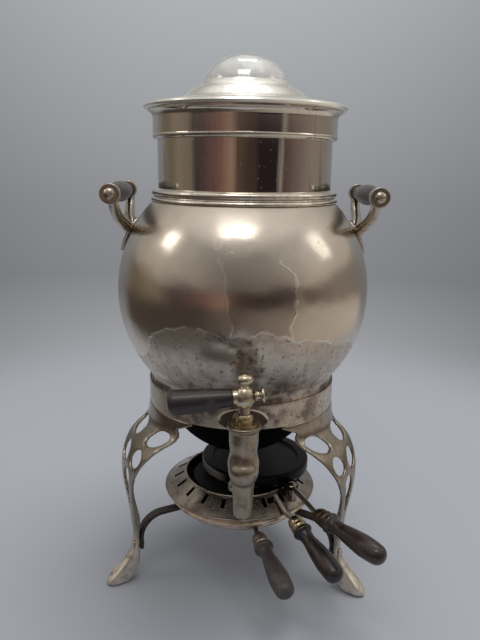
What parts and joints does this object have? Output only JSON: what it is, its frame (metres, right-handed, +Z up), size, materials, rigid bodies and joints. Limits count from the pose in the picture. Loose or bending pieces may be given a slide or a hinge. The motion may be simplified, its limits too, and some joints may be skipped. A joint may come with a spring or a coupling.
{
  "type": "percolator coffee urn",
  "caption": "Table coffee urn with a spun globe, tall neck, glass-domed lid, lever tap and side handles, on pierced cast legs round a shuttered spirit burner with a swinging snuffer",
  "frame": {"origin": "on the urn's axis, at the floor the feet stand on", "axes": "+Z up along the urn's axis, tap towards -Y, side handles on +X and -X"},
  "size_m": [0.179, 0.211, 0.3453],
  "materials": {
    "globe_nickel": "satin nickel plate, dulled and pitted low down",
    "collar_nickel": "satin nickel plate",
    "neck_nickel": "bright nickel plate",
    "lid_nickel": "bright nickel plate",
    "clear_glass": "clear pressed glass",
    "sooty_steel": "soot-blackened sheet",
    "leg_nickel": "worn nickel plate on cast metal",
    "bracket_nickel": "worn nickel plate on cast metal",
    "grip_wood": "ebonised, rubbed",
    "tap_nickel": "nickel plate with brown stains",
    "key_nickel": "nickel plate rubbed towards brass",
    "lever_wood": "ebonised, rubbed to red-brown",
    "burner_nickel": "dull tarnished nickel plate",
    "burner_black": "black, heat-dulled",
    "wick_fibre": "packed mineral fibre",
    "wick_mesh": "woven wire gauze, blackened",
    "handle_steel": "tarnished steel",
    "carry_wood": "bare, greyed",
    "shutter_wood": "worn varnish",
    "snuffer_wood": "dark gloss varnish",
    "insert_metal": "plain, water-stained"
  },
  "bodies": {
    "urn": {"globe": "globe_nickel", "neck": "neck_nickel", "neck_collar": "collar_nickel", "base_band": "globe_nickel", "heating_bowl": "sooty_steel", "leg_left": "leg_nickel", "leg_right": "leg_nickel", "leg_rear": "leg_nickel", "leg_rivets": "leg_nickel", "cradle_arm_left": "burner_black", "cradle_arm_right": "burner_black", "cradle_arm_rear": "burner_black", "cradle_rivets": "leg_nickel", "side_bracket_left": "bracket_nickel", "side_bracket_right": "bracket_nickel", "side_grip_left": "grip_wood", "side_grip_right": "grip_wood", "side_grip_rod_left": "bracket_nickel", "side_grip_rod_right": "bracket_nickel", "tap_rosette": "tap_nickel", "tap_body": "tap_nickel", "tap_nut": "tap_nickel", "tap_bonnet": "key_nickel"},
    "tap_key": {"tap_plug": "tap_nickel", "tap_hub": "key_nickel", "tap_finial": "key_nickel", "tap_lever_rod": "tap_nickel", "tap_lever_grip": "lever_wood", "tap_lever_button": "key_nickel"},
    "burner": {"burner_base": "burner_nickel", "burner_top": "burner_nickel", "burner_cup": "burner_black", "wick_packing": "wick_fibre", "wick_gauze": "wick_mesh", "carry_rod": "handle_steel", "carry_ferrule": "handle_steel", "carry_grip": "carry_wood", "snuffer_post": "burner_nickel"},
    "shutter": {"air_shutter": "burner_black", "shutter_rod": "handle_steel", "shutter_ferrule": "handle_steel", "shutter_grip": "shutter_wood"},
    "snuffer": {"snuffer_cap": "burner_black", "snuffer_rod": "handle_steel", "snuffer_ferrule": "handle_steel", "snuffer_grip": "snuffer_wood"},
    "insert": {"pump_tube": "insert_metal", "pump_foot": "insert_metal", "basket_collet": "insert_metal", "coffee_basket": "insert_metal", "basket_cover": "insert_metal"},
    "lid": {"lid_shell": "lid_nickel", "lid_skirt": "lid_nickel", "lid_glass": "clear_glass", "lid_retainer": "lid_nickel"}
  },
  "joints": [
    {"name": "key_turn", "type": "hinge", "parent": "urn", "child": "tap_key", "pos_m": [0, -0.092, 0.1293], "axis": [0, 0, 1], "range_deg": [0, 90]},
    {"name": "insert_lift", "type": "slide", "parent": "urn", "child": "insert", "axis": [0, 0, 1], "range_m": [0, 0.225]},
    {"name": "lid_lift", "type": "slide", "parent": "insert", "child": "lid", "axis": [0, 0, 1], "range_m": [0, 0.06]},
    {"name": "burner_lift", "type": "slide", "parent": "urn", "child": "burner", "axis": [0, 0, 1], "range_m": [0, 0.01]},
    {"name": "shutter_turn", "type": "hinge", "parent": "burner", "child": "shutter", "pos_m": [0, 0, 0.054], "axis": [0, 0, 1], "range_deg": [-5, 0]},
    {"name": "snuffer_swing", "type": "hinge", "parent": "burner", "child": "snuffer", "pos_m": [0.03481, -0.03037, 0.0661], "axis": [0, 0, 1], "range_deg": [0, 18.5]}
  ]
}
